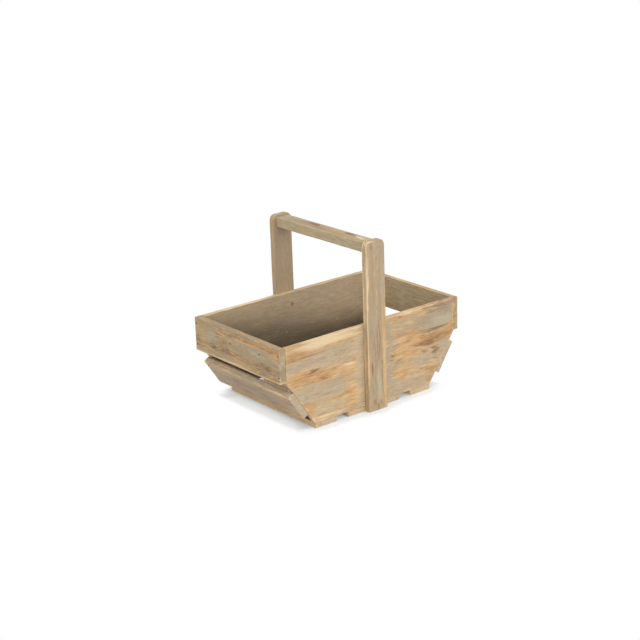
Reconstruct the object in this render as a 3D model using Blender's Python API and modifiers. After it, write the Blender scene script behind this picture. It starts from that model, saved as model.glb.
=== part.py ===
# Garden trug: a slatted wooden carrying basket with a fixed handle. Metres, +Z up.
# The origin is the centre of its footprint on the ground, +X runs along its length and
# +Y across it. Two flat side panels taper towards the floor. Slats are nailed across
# their ends, down their tapers and under them, and two uprights outside the panels
# carry the crossbar that the trug is lifted by.

from math import atan2, cos, pi, radians, sin

import bmesh
import bpy
from mathutils import Matrix, Vector

mm = 0.001

# Overall sizes
length = 360 * mm  # over the outer faces of the top end slats
width = 216 * mm  # over the outer faces of the side panels
rim_height = 141 * mm
handle_height = 272.5 * mm
base_length = 236 * mm  # along the bottom edge of a side panel

# Boards
panel_thickness = 8 * mm
end_slat_thickness = {"left": 11 * mm, "right": 9 * mm}  # sawn by hand, so no two are alike
top_slat_height = 54.5 * mm
lower_slat_width = {"left": 51 * mm, "right": 55 * mm}
lower_slat_foot = 21.6 * mm  # up the taper, from a panel's bottom corner to the lower slat
bottom_slat_thickness = 9 * mm
bottom_slat_width = 41 * mm
bottom_slat_count = 4
bottom_slat_inset = 1.2 * mm  # of the outermost bottom slats from the panel's corners

# Handle
upright_width = 37 * mm
upright_thickness = 10 * mm
upright_corner = 10 * mm  # radius of its two top corners
crossbar_width = 26 * mm
crossbar_height = 16 * mm
crossbar_drop = 3.8 * mm  # from the uprights' tops to the top of the crossbar

# Worn and eased edges
panel_edge = 0.8 * mm
slat_edge = 1.0 * mm
upright_edge = 1.4 * mm
crossbar_edge = 2.6 * mm
fine_segments = 3
crossbar_segments = 4
corner_steps = 12  # facets round a quarter turn of an upright's corner
sharp_angle = radians(30)  # between faces whose edge is eased
flat_angle = radians(1)  # between facets that lie in one face

# Fits
joint_gap = 0.3 * mm  # between two boards that are nailed together
hole_clearance = 0.3 * mm  # round a nail or a screw, and past its tip
overrun = 2 * mm  # of a cutter past the face that it opens
weld_distance = 0.05 * mm

# Nails
nail_length = 27 * mm
nail_shank = 1.8 * mm
nail_head = 3.4 * mm
nail_head_thickness = 0.9 * mm
nail_point = 2.4 * mm
nail_sink = 0.4 * mm  # of the head below the wood
nail_sides = 12
slat_nail_margin = 10 * mm  # from a slat's long edge to its nails
crossbar_nail_spacing = 12 * mm

# Screws that hold the uprights, driven from inside the basket
screw_cover = 2.8 * mm  # wood left in the upright past the screw's tip
screw_shank = 3 * mm
screw_head = 6 * mm
screw_head_depth = 2 * mm  # of its countersunk cone
screw_sink = 0.3 * mm
screw_point = 3 * mm
screw_sides = 16
screw_count = 3
screw_margin = 22 * mm  # from a panel's top or bottom edge to the nearest screw
screw_stagger = 7 * mm  # of each screw to one side or the other of the upright's middle

# Places that follow from the sizes above
panel_end = {
    end: length / 2 - thickness - joint_gap for end, thickness in end_slat_thickness.items()
}
panel_bottom = bottom_slat_thickness + joint_gap
panel_outer = width / 2
panel_middle = panel_outer - panel_thickness / 2
panel_inner = panel_outer - panel_thickness
knee_height = rim_height - top_slat_height  # where a panel's end turns into its taper
taper_lean = {
    end: atan2(reach - base_length / 2, knee_height - panel_bottom)
    for end, reach in panel_end.items()
}
upright_inner = panel_outer + joint_gap
upright_middle = upright_inner + upright_thickness / 2
upright_outer = upright_inner + upright_thickness
screw_length = panel_thickness + joint_gap + upright_thickness - screw_cover
crossbar_middle_height = handle_height - crossbar_drop - crossbar_height / 2
bottom_reach = base_length / 2 - bottom_slat_inset - bottom_slat_width / 2
bottom_pitch = 2 * bottom_reach / (bottom_slat_count - 1)

sides = (("front", -1), ("back", 1))
ends = (("left", -1), ("right", 1))

for old in list(bpy.data.objects):
    bpy.data.objects.remove(old)


def new_collection(name):
    collection = bpy.data.collections.new(name)
    bpy.context.scene.collection.children.link(collection)
    return collection


trug = new_collection("garden_trug")
cutters = new_collection("cutters")
cutters.hide_render = True

root = bpy.data.objects.new("trug_origin", None)
trug.objects.link(root)


def wood(name, colour, roughness):
    material = bpy.data.materials.new(name)
    material.use_nodes = True
    shader = material.node_tree.nodes["Principled BSDF"]
    shader.inputs["Base Color"].default_value = (*colour, 1)
    shader.inputs["Roughness"].default_value = roughness
    return material


def steel(name, colour, roughness):
    material = wood(name, colour, roughness)
    material.node_tree.nodes["Principled BSDF"].inputs["Metallic"].default_value = 1
    return material


panel_wood = wood("washed_panel_wood", (0.47, 0.33, 0.19), 0.75)
end_slat_wood = wood("washed_slat_wood", (0.42, 0.31, 0.20), 0.78)
bottom_slat_wood = wood("bottom_slat_wood", (0.40, 0.30, 0.18), 0.8)
upright_wood = wood("upright_wood", (0.50, 0.36, 0.22), 0.7)
crossbar_wood = wood("crossbar_wood", (0.42, 0.31, 0.19), 0.65)
nail_steel = steel("nail_steel", (0.22, 0.19, 0.16), 0.5)
screw_steel = steel("screw_steel", (0.45, 0.44, 0.42), 0.35)


def place(obj, material, location, rotation=(0, 0, 0)):
    """Links the object under the trug's origin, with its material, at its place."""
    obj.data.materials.clear()
    obj.data.materials.append(material)
    trug.objects.link(obj)
    obj.parent = root
    obj.location = location
    obj.rotation_euler = rotation
    return obj


def ease_edges(obj, radius, segments):
    bevel = obj.modifiers.new("eased_edges", "BEVEL")
    bevel.width = radius
    bevel.segments = segments
    bevel.limit_method = "ANGLE"
    bevel.angle_limit = sharp_angle
    return obj


def board(name, size, material, location, edge, segments=fine_segments, lean=0):
    """A planed board with eased edges, leaning about Y."""
    mesh = bpy.data.meshes.new(name)
    shape = bmesh.new()
    bmesh.ops.create_cube(shape, size=1)
    bmesh.ops.scale(shape, vec=size, verts=shape.verts)
    shape.to_mesh(mesh)
    shape.free()
    obj = place(bpy.data.objects.new(name, mesh), material, location, (0, lean, 0))
    return ease_edges(obj, edge, segments)


def flat_board(name, outline, thickness, material, middle, edge):
    """A board sawn to an outline in the XZ plane, its thickness along Y about middle."""
    curve = bpy.data.curves.new(name, "CURVE")
    curve.dimensions = "2D"
    curve.fill_mode = "BOTH"
    curve.extrude = thickness / 2
    spline = curve.splines.new("POLY")
    spline.points.add(len(outline) - 1)
    for point, (x, z) in zip(spline.points, outline):
        point.co = (x, z, 0, 1)
    spline.use_cyclic_u = True
    drawn = bpy.data.objects.new(name + "_outline", curve)
    trug.objects.link(drawn)
    bpy.context.view_layer.update()
    graph = bpy.context.evaluated_depsgraph_get()
    mesh = bpy.data.meshes.new_from_object(drawn.evaluated_get(graph))
    bpy.data.objects.remove(drawn)
    shape = bmesh.new()
    shape.from_mesh(mesh)
    bmesh.ops.remove_doubles(shape, verts=shape.verts, dist=weld_distance)
    bmesh.ops.dissolve_limit(
        shape, angle_limit=flat_angle, verts=shape.verts, edges=shape.edges
    )
    bmesh.ops.recalc_face_normals(shape, faces=shape.faces)
    shape.to_mesh(mesh)
    shape.free()
    mesh.name = name
    obj = place(
        bpy.data.objects.new(name, mesh), material, (0, middle, 0), (pi / 2, 0, 0)
    )
    return ease_edges(obj, edge, fine_segments)


# Side panels: six-sided boards, straight down behind the top end slats, then tapered

panel_outline = [
    (-panel_end["left"], rim_height),
    (-panel_end["left"], knee_height),
    (-base_length / 2, panel_bottom),
    (base_length / 2, panel_bottom),
    (panel_end["right"], knee_height),
    (panel_end["right"], rim_height),
]
panels = {
    side: flat_board(
        f"side_panel_{side}",
        panel_outline,
        panel_thickness,
        panel_wood,
        sign * panel_middle,
        panel_edge,
    )
    for side, sign in sides
}

# End slats: the top one upright over the panels' ends, the lower one along the tapers


def on_taper(end, sign, distance, outward):
    """The point that far up an end's taper from the panel's bottom corner, and off its edge."""
    lean = taper_lean[end]
    x = base_length / 2 + distance * sin(lean) + outward * cos(lean)
    z = panel_bottom + distance * cos(lean) - outward * sin(lean)
    return sign * x, z


top_slats = {}
lower_slats = {}
for end, sign in ends:
    thickness = end_slat_thickness[end]
    top_slats[end] = board(
        f"top_slat_{end}",
        (thickness, width, top_slat_height),
        end_slat_wood,
        (sign * (length - thickness) / 2, 0, rim_height - top_slat_height / 2),
        slat_edge,
    )
    middle = lower_slat_foot + lower_slat_width[end] / 2
    x, z = on_taper(end, sign, middle, joint_gap + thickness / 2)
    lower_slats[end] = board(
        f"lower_slat_{end}",
        (thickness, width, lower_slat_width[end]),
        end_slat_wood,
        (x, 0, z),
        slat_edge,
        lean=sign * taper_lean[end],
    )

# Bottom slats, evenly spaced under the panels

bottom_slats = [
    board(
        f"bottom_slat_{index + 1}",
        (bottom_slat_width, width, bottom_slat_thickness),
        bottom_slat_wood,
        (index * bottom_pitch - bottom_reach, 0, bottom_slat_thickness / 2),
        slat_edge,
    )
    for index in range(bottom_slat_count)
]

# Handle: uprights from the ground, with rounded top corners, and the bar between them

half_upright = upright_width / 2
upright_outline = [(-half_upright, 0), (half_upright, 0)]
for sign in (1, -1):
    for step in range(corner_steps + 1):
        turn = pi / 2 * (step if sign > 0 else corner_steps - step) / corner_steps
        upright_outline.append(
            (
                sign * (half_upright - upright_corner + upright_corner * cos(turn)),
                handle_height - upright_corner + upright_corner * sin(turn),
            )
        )
uprights = {
    side: flat_board(
        f"handle_upright_{side}",
        upright_outline,
        upright_thickness,
        upright_wood,
        sign * upright_middle,
        upright_edge,
    )
    for side, sign in sides
}
crossbar = board(
    "handle_crossbar",
    (crossbar_width, 2 * (upright_inner - joint_gap), crossbar_height),
    crossbar_wood,
    (0, 0, crossbar_middle_height),
    crossbar_edge,
    crossbar_segments,
)

# Fasteners: each is a turned profile down its own -Z, from the wood's face to its tip


def nail_profile(clearance=0, rise=0):
    head = nail_head / 2 + clearance
    shank = nail_shank / 2 + clearance
    top = rise - nail_sink
    under = -nail_sink - nail_head_thickness - clearance
    tip = -nail_length - clearance
    return [(0, top), (head, top), (head, under), (shank, under), (shank, tip + nail_point), (0, tip)]


def screw_profile(clearance=0, rise=0):
    head = screw_head / 2 + clearance
    shank = screw_shank / 2 + clearance
    top = rise - screw_sink
    rim = -screw_sink - clearance
    under = -screw_sink - screw_head_depth - clearance
    tip = -screw_length - clearance
    points = [(0, top), (head, rim), (shank, under), (shank, tip + screw_point), (0, tip)]
    return points if rise == 0 else points[:1] + [(head, top)] + points[1:]


def turned(name, profile, count):
    """A mesh object whose profile a Screw modifier turns round Z."""
    mesh = bpy.data.meshes.new(name)
    points = [(radius, 0, height) for radius, height in profile]
    mesh.from_pydata(points, [(i, i + 1) for i in range(len(points) - 1)], [])
    obj = bpy.data.objects.new(name, mesh)
    screw = obj.modifiers.new("turn", "SCREW")
    screw.steps = screw.render_steps = count
    screw.use_merge_vertices = True
    screw.merge_threshold = weld_distance
    screw.use_smooth_shade = False
    return obj


def solid_mesh(name, profile, count):
    """The turned profile as a plain closed mesh, for a cutter."""
    obj = turned(name, profile, count)
    cutters.objects.link(obj)
    bpy.context.view_layer.update()
    graph = bpy.context.evaluated_depsgraph_get()
    mesh = bpy.data.meshes.new_from_object(obj.evaluated_get(graph))
    bpy.data.objects.remove(obj)
    return mesh


kinds = {
    "nail": (nail_profile, nail_sides, nail_steel),
    "screw": (screw_profile, screw_sides, screw_steel),
}
bores = {
    kind: solid_mesh(f"{kind}_bore", profile(hole_clearance, overrun), count)
    for kind, (profile, count, _) in kinds.items()
}
holes = {}


def fasten(name, kind, point, direction, through):
    """Drives a nail or a screw at a point of a board's face, through the boards given."""
    profile, count, material = kinds[kind]
    turn = Vector((0, 0, -1)).rotation_difference(Vector(direction))
    obj = place(turned(name, profile(), count), material, point, turn.to_euler())
    for piece in through:
        holes.setdefault(piece, []).append((kind, Matrix.LocRotScale(point, turn, None)))
    return obj


top_nail_reach = top_slat_height / 2 - slat_nail_margin
bottom_nail_reach = bottom_slat_width / 2 - slat_nail_margin
for end, end_sign in ends:
    lean = taper_lean[end]
    lower_nails = {
        "upper": lower_slat_foot + lower_slat_width[end] - slat_nail_margin,
        "lower": lower_slat_foot + slat_nail_margin,
    }
    for side, side_sign in sides:
        y = side_sign * panel_middle
        for row, up in (("upper", 1), ("lower", -1)):
            fasten(
                f"top_slat_{end}_nail_{side}_{row}",
                "nail",
                (
                    end_sign * length / 2,
                    y,
                    rim_height - top_slat_height / 2 + up * top_nail_reach,
                ),
                (-end_sign, 0, 0),
                (top_slats[end], panels[side]),
            )
            x, z = on_taper(
                end, end_sign, lower_nails[row], joint_gap + end_slat_thickness[end]
            )
            fasten(
                f"lower_slat_{end}_nail_{side}_{row}",
                "nail",
                (x, y, z),
                (-end_sign * cos(lean), 0, sin(lean)),
                (lower_slats[end], panels[side]),
            )

for index, slat in enumerate(bottom_slats):
    for side, side_sign in sides:
        for place_name, along in (("left", -1), ("right", 1)):
            fasten(
                f"{slat.name}_nail_{side}_{place_name}",
                "nail",
                (
                    index * bottom_pitch - bottom_reach + along * bottom_nail_reach,
                    side_sign * panel_middle,
                    0,
                ),
                (0, 0, 1),
                (slat, panels[side]),
            )

screw_rise = (rim_height - panel_bottom - 2 * screw_margin) / (screw_count - 1)
for side, side_sign in sides:
    for row in range(screw_count):
        fasten(
            f"upright_{side}_screw_{row + 1}",
            "screw",
            (
                screw_stagger * (-1) ** row,
                side_sign * panel_inner,
                panel_bottom + screw_margin + row * screw_rise,
            ),
            (0, side_sign, 0),
            (panels[side], uprights[side]),
        )
    for place_name, along in (("left", -1), ("right", 1)):
        fasten(
            f"crossbar_nail_{side}_{place_name}",
            "nail",
            (
                along * crossbar_nail_spacing / 2,
                side_sign * upright_outer,
                crossbar_middle_height,
            ),
            (0, -side_sign, 0),
            (uprights[side], crossbar),
        )

# Holes for the fasteners, one cutter for each board

for piece, bored in holes.items():
    shape = bmesh.new()
    for kind, matrix in bored:
        first = len(shape.verts)
        shape.from_mesh(bores[kind])
        shape.verts.ensure_lookup_table()
        bmesh.ops.transform(shape, matrix=matrix, verts=shape.verts[first:])
    mesh = bpy.data.meshes.new(f"{piece.name}_holes")
    shape.to_mesh(mesh)
    shape.free()
    cutter = bpy.data.objects.new(mesh.name, mesh)
    cutters.objects.link(cutter)
    cutter.hide_render = True
    cutter.display_type = "WIRE"
    drill = piece.modifiers.new("holes", "BOOLEAN")
    drill.operation = "DIFFERENCE"
    drill.object = cutter
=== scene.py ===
from math import atan2, cos, pi, radians, sin

import bpy
import numpy as np
from mathutils import Matrix, Vector


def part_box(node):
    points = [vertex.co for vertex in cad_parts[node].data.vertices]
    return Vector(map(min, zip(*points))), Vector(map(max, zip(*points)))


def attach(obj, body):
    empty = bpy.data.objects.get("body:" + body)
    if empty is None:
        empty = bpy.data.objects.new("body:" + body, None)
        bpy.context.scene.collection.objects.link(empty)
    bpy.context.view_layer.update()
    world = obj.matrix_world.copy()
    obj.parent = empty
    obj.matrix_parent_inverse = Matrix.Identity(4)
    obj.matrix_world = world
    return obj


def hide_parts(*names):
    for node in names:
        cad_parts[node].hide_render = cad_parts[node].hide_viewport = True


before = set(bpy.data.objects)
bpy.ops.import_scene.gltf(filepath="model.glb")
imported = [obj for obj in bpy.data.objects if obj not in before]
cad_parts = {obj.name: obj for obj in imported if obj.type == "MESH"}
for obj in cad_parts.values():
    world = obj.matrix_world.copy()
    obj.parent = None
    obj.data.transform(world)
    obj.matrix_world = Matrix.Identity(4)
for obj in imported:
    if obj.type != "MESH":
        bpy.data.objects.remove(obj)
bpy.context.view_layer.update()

mm = 0.001

# Noise

noiseTable = np.random.default_rng(11).random((32, 32, 32))
# each kind: its lowest and highest value, the size of its blobs along, across and through the
# grain in mm, and a shift that keeps it apart from the others
noiseKinds = {
    "arrisRadius": (0.55, 1.65, (28, 9, 9), 0),
    "wornWidth": (0.5, 2.4, (17, 5, 5), 23),  # mm
    "wornShare": (0.1, 0.9, (17, 5, 5), 23),
    "unevenFace": (0.0, 0.22, (60, 18, 18), 29),  # mm
    "roughEnd": (0.0, 0.14, (2, 2.2, 2.2), 31),  # mm
    "ringBend": (-2.5, 2.5, (110, 40, 40), 3),  # mm
    "pithDepth": (-5.0, 5.0, (90, 60, 60), 5),  # mm
    "knotRipple": (0.75, 1.25, (3, 2, 2), 2),
    "markAlong": (-12.0, 12.0, (45, 5, 6), 7),  # mm
    "markAcross": (-2.5, 2.5, (30, 7, 6), 9),  # mm
    "patches": (-0.225, 0.225, (70, 14, 14), 13),
    "flecks": (-0.175, 0.175, (26, 4, 4), 17),
    "streaks": (-0.2, 0.2, (40, 4, 4), 19),
    "mauve": (-0.35, 0.35, (80, 16, 16), 37),
    "tone": (-0.04, 0.04, (50, 12, 12), 41),
}


def slowNoise(place, kind, seed):
    # smooth noise of one kind over points of a board in mm
    lowest, highest, cell, shift = noiseKinds[kind]
    at = place / np.array(cell, float) + (seed + shift)
    low = np.floor(at).astype(int)
    part = at - low
    part = part * part * (3 - 2 * part)
    total = np.zeros(len(place))
    for corner in np.ndindex(2, 2, 2):
        weight = np.prod(np.where(corner, part, 1 - part), axis=1)
        at = (low + corner) % len(noiseTable)
        total += weight * noiseTable[at[:, 0], at[:, 1], at[:, 2]]
    return lowest + (highest - lowest) * total


def easeStep(low, high, value):
    part = np.clip((value - low) / (high - low), 0, 1)
    return part * part * (3 - 2 * part)


# Colour and nodes


def linear(hexColour):
    # sRGB hex to the linear colour that a socket takes
    parts = [int(hexColour[i : i + 2], 16) / 255 for i in (1, 3, 5)]
    return (*(p / 12.92 if p <= 0.04045 else ((p + 0.055) / 1.055) ** 2.4 for p in parts), 1)


def grey(level):
    return level, level, level, 1


def add(tree, kind, inputs=(), take=0, stops=(), **settings):
    # one node with its settings and links; an input takes a value or another node's output
    node = tree.nodes.new(kind)
    for name, value in settings.items():
        setattr(node, name, value)
    for key, value in dict(inputs).items():
        if isinstance(value, bpy.types.NodeSocket):
            tree.links.new(value, node.inputs[key])
        else:
            node.inputs[key].default_value = value
    for index, (place, colour) in enumerate(stops):
        if index == len(node.color_ramp.elements):
            node.color_ramp.elements.new(place)
        node.color_ramp.elements[index].position = place
        node.color_ramp.elements[index].color = colour
    return node.outputs[take]


def newMaterial(name):
    material = bpy.data.materials.new(name)
    material.use_nodes = True
    return material, material.node_tree, material.node_tree.nodes["Principled BSDF"]


def newObject(name, data):
    made = bpy.data.objects.new(name, data)
    bpy.context.scene.collection.objects.link(made)
    return made


def addPiece(name, mesh, node, turned=Matrix()):
    # a piece that stands for a node of the frame; nothing on the trug moves
    piece = newObject(name, mesh)
    piece.matrix_world = turned
    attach(piece, "root")
    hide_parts(node)


# Softwood planks, circular sawn, given a thin grey-brown limewash and rubbed back by hand.
# The eye gets dry matt wood: chalky wash that stays in hollows, honey pine where it is
# rubbed through, fine brown fibres along the grain, cream arrises.
woodLook = {
    # along and across the grain in mm, and detail; real fibres and pores are finer than these
    "grain": {
        "fibre": (18.0, 0.6, 3.0),
        "streak": (17.0, 1.9, 3.0),
        "band": (42.0, 4.6, 3.0),
        "blotch": (15.0, 5.0, 3.0),
        "pore": (3.0, 0.3, 2.0),
    },
    "grainRoughness": 0.6,
    "ringWander": 0.16,
    "ringShade": ((0.0, 0.0), (0.55, 0.2), (0.86, 1.0), (1.0, 0.05)),
    # each share: weights of its parts, the sum at which it begins and is full, how strong it is
    "shares": {
        "lateWood": ({"ring": 0.9, "blotch": 0.35, "fibre": 0.2}, 0.2, 1.2, 0.55),
        "honey": ({"warmth": 1, "streak": 0.45, "fibre": 0.25, "band": 0.35, "blotch": -0.2}, 0, 0.95, 0.95),
        "rust": ({"honey": 1, "lateWood": 0.6, "streak": 0.7, "band": 0.5, "warmth": 0.3}, 0.95, 2.05, 0.6),
        # cream of arrises rubbed bare, and of faces made paler as painted light
        "cream": ({"rubbed": 1, "fibre": 0.22, "streak": 0.25}, 0.12, 1, 0.9),
        "wash": (
            {"washCover": 1, "streak": 0.58, "fibre": 0.38, "band": 0.4, "blotch": 0.42}
            | {"lateWood": -0.4, "cream": -0.9},
            0.08,
            0.92,
            0.96,
        ),
        "paleWash": ({"wash": 1, "blotch": 0.4, "streak": 0.6, "fibre": 0.2}, 0.45, 1.45, 0.9),
        "mauveWash": ({"wash": 0.5, "mauve": 1, "blotch": 0.3, "band": 0.3}, 0.45, 1.45, 0.6),
        "greyWash": ({"greyed": 1, "streak": 0.3, "blotch": 0.2, "fibre": 0.2}, 0.2, 1, 0.9),
        "brownStreak": ({"streaks": 0.78, "streak": 0.72, "fibre": 0.45, "blotch": 0.2}, 0.3, 1.4, 0.8),
        "darkFibre": ({"fibre": -1}, -0.1, 1.2, 0.42),
        "paleFibre": ({"fibre": 1}, 0.1, 1.4, 0.35),
        "pores": ({"pore": 1, "streak": 0.3}, 0.45, 1.4, 0.28),
        "knot": ({"knotMark": 1.2, "fibre": 0.2}, 0.25, 1.2, 0.9),
        # painted shade inside the trug, darker towards the bottom, drawn together with the rust round the
        # fasteners
        "soil": ({"stain": 1, "streak": 0.1}, 0.08, 1, 0.95),
        "rough": ({"wash": 1, "cream": -1}, -1, 1, 1),
        "height": ({"fibre": 0.5, "lateWood": 0.4, "streak": 0.35, "pore": -0.2}, -1.5, 1.5, 1),
    },
    # what is laid over the pale pine, in order
    "layers": (
        ("lateWood", "pineDeep"),
        ("honey", "pineHoney"),
        ("rust", "pineRust"),
        ("cream", "cream"),
        ("wash", "washDeep"),
        ("paleWash", "washPale"),
        ("mauveWash", "washMauve"),
        ("greyWash", "washGrey"),
        ("brownStreak", "brown"),
        ("darkFibre", "brown"),
        ("paleFibre", "washPale"),
        ("pores", "brown"),
        ("knot", "knotBrown"),
        # painted shade and rust, laid last
        ("soil", "soil"),
    ),
    "pinePale": "#d9bd90",
    "pineDeep": "#bf9b6e",
    "pineHoney": "#cfa26c",
    "pineRust": "#a57142",
    "cream": "#e9d0a6",
    "washPale": "#cdba9b",
    "washDeep": "#ad977a",
    "washMauve": "#b59b85",
    "washGrey": "#bcb096",
    "brown": "#7e5c42",
    "knotBrown": "#5f4331",
    # dark brown of the painted shade inside the trug and of the rust round the fasteners
    "soil": "#4b3d2c",
    "roughness": (0.62, 0.86),  # of rubbed wood, and under the full wash
    "bump": 0.6,
    "bumpDepth": 0.3,  # mm
}
# what each point of a board carries, for the material to read
woodFields = ("washCover", "warmth", "rubbed", "streaks", "mauve", "greyed", "tone")
# one of these fields holds both the rust round the fasteners and the painted shade inside
woodFields += ("knotMark", "stain", "ringPhase")


def washedPine(name, **changes):
    look = {**woodLook, **changes}
    material, tree, shader = newMaterial(name)
    made = {
        field: add(tree, "ShaderNodeAttribute", take="Fac", attribute_name=field)
        for field in woodFields
    }
    place = add(tree, "ShaderNodeAttribute", take="Vector", attribute_name="grainPlace")
    for grain, (along, across, detail) in look["grain"].items():
        scale = (1 / along, 1 / across, 1 / across)
        scaled = add(tree, "ShaderNodeVectorMath", {0: place, 1: scale}, operation="MULTIPLY")
        settings = {"Vector": scaled, "Scale": 1.0, "Detail": detail, "Roughness": look["grainRoughness"]}
        noise = add(tree, "ShaderNodeTexNoise", settings)
        # most of the noise lies from 0.25 to 0.75, and is spread from -1 to 1
        made[grain] = add(tree, "ShaderNodeMath", {0: noise, 1: 4.0, 2: -2.0}, operation="MULTIPLY_ADD")

    # growth rings: each darkens slowly and ends sharply
    wander = {0: made["band"], 1: look["ringWander"], 2: made["ringPhase"]}
    wander = add(tree, "ShaderNodeMath", wander, operation="MULTIPLY_ADD")
    phase = add(tree, "ShaderNodeMath", {0: wander}, operation="FRACT")
    shades = [(at, grey(shade)) for at, shade in look["ringShade"]]
    made["ring"] = add(tree, "ShaderNodeValToRGB", {0: phase}, stops=shades)

    for share, (parts, begins, full, most) in look["shares"].items():
        total = 0.0
        for part, weight in parts.items():
            total = {0: made[part], 1: weight, 2: total}
            total = add(tree, "ShaderNodeMath", total, operation="MULTIPLY_ADD")
        limits = {"Value": total, "From Min": begins, "From Max": full, "To Max": most}
        made[share] = add(tree, "ShaderNodeMapRange", limits, interpolation_type="SMOOTHSTEP")

    colour = linear(look["pinePale"])
    for share, tint in look["layers"]:
        mix = {0: made[share], 6: colour, 7: linear(look[tint])}  # its two colours are 6 and 7
        colour = add(tree, "ShaderNodeMix", mix, take=2, data_type="RGBA")
    tone = add(tree, "ShaderNodeMath", {0: made["tone"], 1: 1.0}, operation="ADD")
    colour = add(tree, "ShaderNodeVectorMath", {0: colour, "Scale": tone}, operation="SCALE")
    tree.links.new(colour, shader.inputs["Base Color"])

    smooth, chalky = look["roughness"]
    limits = {"Value": made["rough"], "To Min": smooth, "To Max": chalky}
    tree.links.new(add(tree, "ShaderNodeMapRange", limits), shader.inputs["Roughness"])
    relief = {"Strength": look["bump"], "Distance": look["bumpDepth"] * mm, "Height": made["height"]}
    tree.links.new(add(tree, "ShaderNodeBump", relief), shader.inputs["Normal"])
    return material


# Boards

# what a board has unless its own dictionary says otherwise
boardLook = {
    "steps": (2.6, 1.0),  # of its grid, along and across the grain, in mm
    "rowAxis": 1,  # the rows of its grid follow each other across the grain; 0 is along it
    "rowKept": [],
    "core": 0,
    "sideShares": 1.0,
    "innerShare": 1.0,
    "knocks": 6,
    "arris": 1.0,
    "endWash": 0.35,
    # painted shade on the inner faces: its strength, where across the board it is full and where it has
    # faded out, and how that line slopes along the board
    "soil": (0.0, 0.0, 1.0, 0.0),
    "bow": None,
}
gridLook = {
    "besideArris": (0.0, 0.28, 0.65, 1.1, 1.7, 2.6),  # lines, in mm from each arris
    "layerStep": 1.6,
    "closest": 0.12,
}


def latticeLines(low, high, step, kept=()):
    # grid lines from low to high, close at both ends, with every kept line
    closest = gridLook["closest"]
    fixed = {low + e for e in gridLook["besideArris"]} | {high - e for e in gridLook["besideArris"]}
    fixed |= {k for k in kept if low + closest < k < high - closest}
    fixed = sorted(fixed)
    lines = [fixed[0]]
    for line in fixed[1:]:
        if line - lines[-1] > closest:
            lines.append(line)
    out = []
    for a, b in zip(lines, lines[1:]):
        count = max(1, round((b - a) / step))
        out += [a + (b - a) * i / count for i in range(count)]
    return np.array(out + [lines[-1]])


def latticeBox(counts):
    # the surface points of a box of grid points, and its outward quads
    grid = np.indices(counts).reshape(3, -1).T
    last = np.array(counts) - 1
    onSurface = ((grid == 0) | (grid == last)).any(axis=1)
    number = np.full(counts, -1)
    number.reshape(-1)[onSurface] = np.arange(onSurface.sum())
    quads = []
    for axis in range(3):
        for end in (0, last[axis]):
            sheet = np.take(number, end, axis=axis)
            corners = [sheet[:-1, :-1], sheet[1:, :-1], sheet[1:, 1:], sheet[:-1, 1:]]
            quad = np.stack(corners, -1).reshape(-1, 4)
            quads.append(quad[:, ::-1] if (end == 0) != (axis == 1) else quad)
    return grid[onSurface], np.concatenate(quads)


def halfPlanes(outline):
    # the outward normal and distance of each side of an outline that runs anticlockwise
    along = np.roll(outline, -1, axis=0) - outline
    normals = np.stack([along[:, 1], -along[:, 0]], 1)
    normals /= np.linalg.norm(normals, axis=1)[:, None]
    return normals, (normals * outline).sum(1)


# the well that a fastener's head lies in; its lengths are in radii of the well
wellLook = {
    "lines": (-1.7, -1.3, -1.0, -0.9, -0.5, 0.0, 0.5, 0.9, 1.0, 1.3, 1.7),  # of the grid
    "ringed": (1.15, 1.7),  # the grid is round up to the first, and square from the second
    "wall": (0.9, 1.0, 1.3, 1.7),
    "lip": (0.1, 0.05, 0.0),  # mm deep, from the wall outwards
    "stain": (1.3 / 0.7, 1.3),  # how far the rust spreads along and across the grain
}
# radius and depth in mm, and the strength of the stain
nailWell = (1.85, 0.8, 0.45)
filledWell = (1.8, 0.45, 0.0)
screwWell = (3.15, 0.75, 0.3)
seats = {}  # where each fastener goes in, and which way it was driven


def sinkWells(flat, depth, wells):
    # turns the grid squares round each fastener into rings, and says how deep each point goes
    deep = np.zeros(len(flat))
    halo = np.zeros(len(flat))
    for g, c, side, radius, sink, rust in wells:
        away = flat - (g, c)
        square = np.abs(away).max(axis=1)
        straight = np.maximum(np.linalg.norm(away, axis=1), 1e-9)
        fade = easeStep(*wellLook["ringed"], square / radius)
        away *= (square / straight * (1 - fade) + fade)[:, None]
        flat[:] = (g, c) + away
        near = (np.sign(depth) == side) * 1.0
        wall = np.interp(square / radius, wellLook["wall"], (sink, *wellLook["lip"]))
        deep = np.maximum(deep, wall * near)
        spread = ((away / radius / wellLook["stain"]) ** 2).sum(axis=1)
        halo = np.maximum(halo, rust * np.exp(-spread) * near)
    return deep, halo


# how planks wear: each board says how much with its own edge, knocks and arris
wearLook = {
    "sideBlend": 3.0,  # mm
    "knockLength": (1.6, 3.6),
    "knockWidth": (1.2, 2.4),
    "knockDepth": 0.8,
    "knockRubbed": 0.35,
    "roundest": 0.3,  # an arris loses no more of the thickness than this
    "insetRounds": 4,
    "ringRelief": 0.07,  # mm
    "endTurn": (0.7, 0.95),  # a point is on end grain as its normal turns this far along it
    "innerTurn": (0.2, 0.9),  # and on the inner face as it turns this far inwards
    "washWorn": 0.5,  # how much of the wash goes where the wood is rubbed bare
    "endSpared": 0.6,
    # how patchy the painted shade inside is
    "soilPatches": 2 / 3,
    "knotLong": 1.5,  # a knot's length along the grain, to its width
    "knotPush": 0.85,
    "knotReach": 2.2,  # of the bent rings, in sizes of the knot
    "knotEdge": (0.4, 1.5),
    "grainApart": (137.0, 50.7, 83.6),  # so that no two boards share their grain
}


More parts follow.
